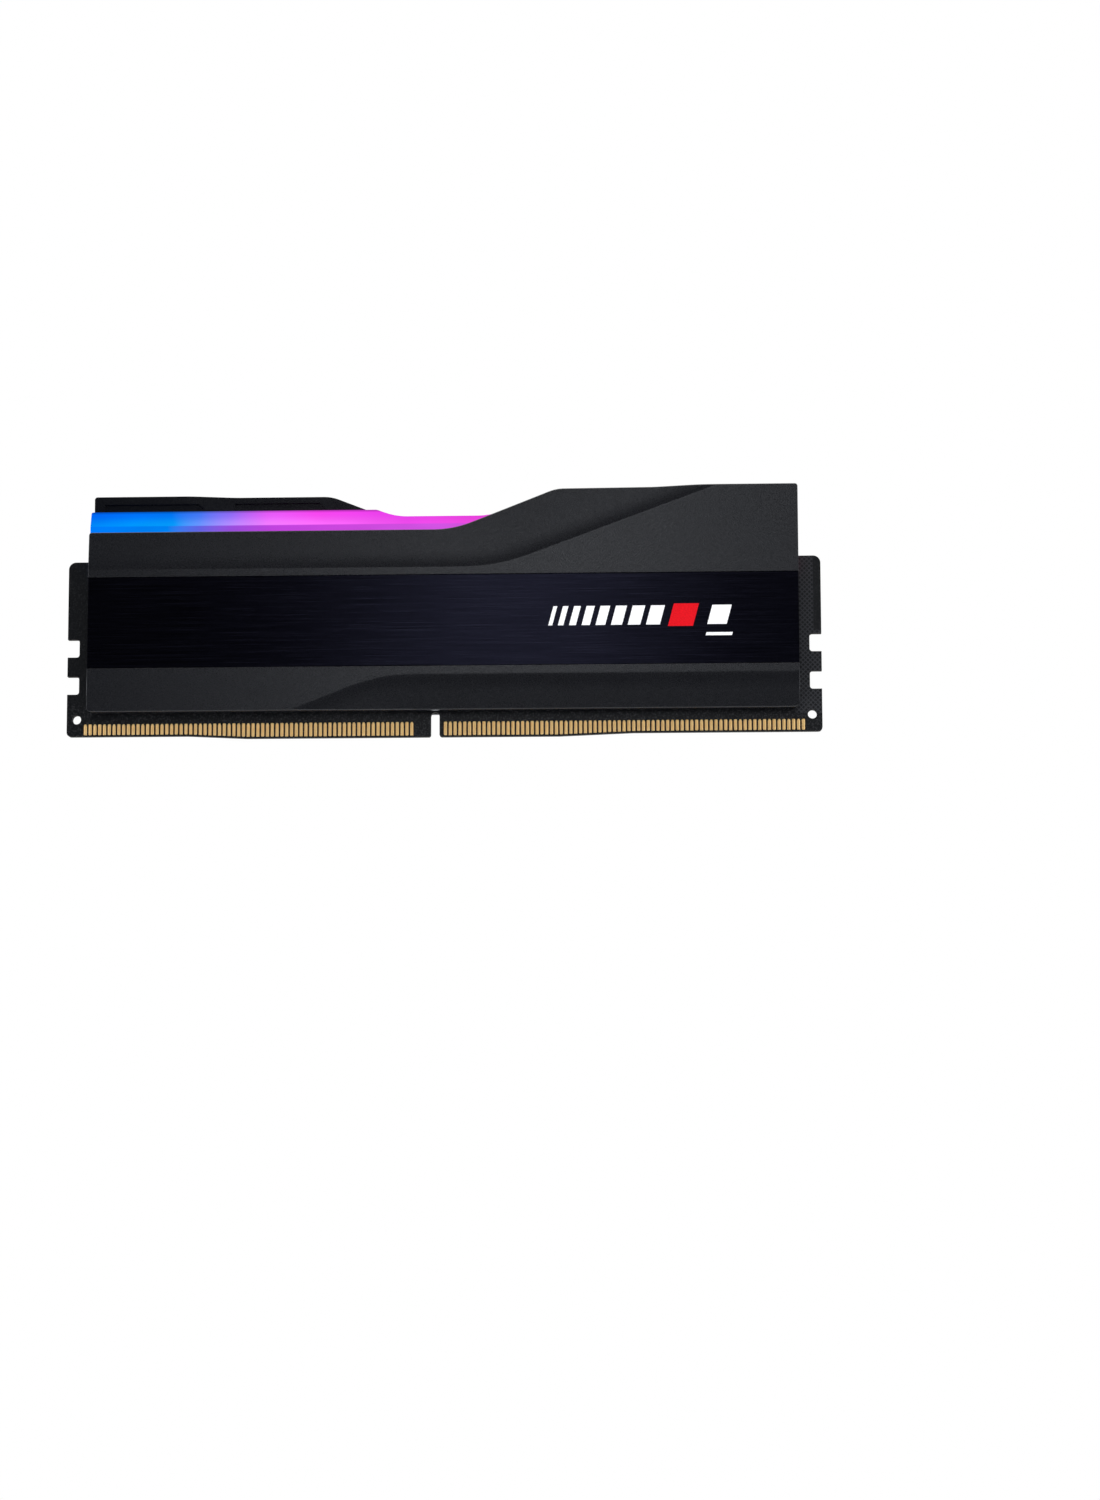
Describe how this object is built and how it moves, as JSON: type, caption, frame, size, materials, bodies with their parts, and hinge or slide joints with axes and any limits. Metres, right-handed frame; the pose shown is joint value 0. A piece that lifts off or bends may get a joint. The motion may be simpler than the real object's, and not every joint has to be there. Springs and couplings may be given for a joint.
{
  "type": "ram module",
  "caption": "Desktop memory module: keyed edge-contact board between two faceted heat spreaders, with a translucent light bar along the top.",
  "frame": {"origin": "half way along the board and half way through its thickness, level with the two end stretches of the contact edge, whose middle stretch reaches 0.5 mm lower", "axes": "+X along the board (to the right when the chip side faces the viewer), +Y from the front, chip side to the back, +Z from the contact edge up to the light bar"},
  "size_m": [0.1334, 0.0082, 0.0441],
  "materials": {
    "solder_mask_board": "black solder mask over a laminate board, satin",
    "gold_plating": "hard gold plating, satin",
    "solder": "tin solder, dull",
    "package_laminate": "package substrate, satin",
    "mold_compound": "black mould compound, matte",
    "ferrite": "pressed ferrite, matte",
    "capacitor_ceramic": "tan ceramic, satin",
    "tin_terminal": "tinned metal, satin",
    "resistor_film": "black glazed film on ceramic",
    "led_housing": "white moulded housing",
    "led_resin": "clear resin",
    "thermal_pad": "soft grey thermal pad, matte",
    "foam_spacer": "dense black foam, matte",
    "spreader_coating": "fine-grained charcoal coating on aluminium, satin",
    "brushed_insert": "black anodised aluminium, brushed lengthwise",
    "adhesive_tape": "black double-sided tape",
    "light_diffuser": "milky translucent plastic, satin",
    "printed_ink": "screen-printed ink in white and red, satin"
  },
  "bodies": {
    "root": {"pcb": "solder_mask_board", "contacts_front": "gold_plating", "contacts_back": "gold_plating", "dram_solder_balls": "solder", "dram_substrates": "package_laminate", "dram_mold_caps": "mold_compound", "pmic": "mold_compound", "pmic_leads": "solder", "spd_hub": "mold_compound", "led_controller": "mold_compound", "inductor_cores": "ferrite", "inductor_terminals": "tin_terminal", "capacitor_bodies": "capacitor_ceramic", "capacitor_terminals": "tin_terminal", "resistor_arrays": "resistor_film", "led_bodies": "led_housing", "led_lenses": "led_resin", "dram_pad_left": "thermal_pad", "dram_pad_right": "thermal_pad", "pmic_pad": "thermal_pad", "back_spacer_left": "foam_spacer", "back_spacer_right": "foam_spacer", "front_plate": "spreader_coating", "back_plate": "spreader_coating", "front_insert": "brushed_insert", "back_insert": "brushed_insert", "front_insert_tape": "adhesive_tape", "back_insert_tape": "adhesive_tape", "light_bar": "light_diffuser"}
  },
  "joints": []
}
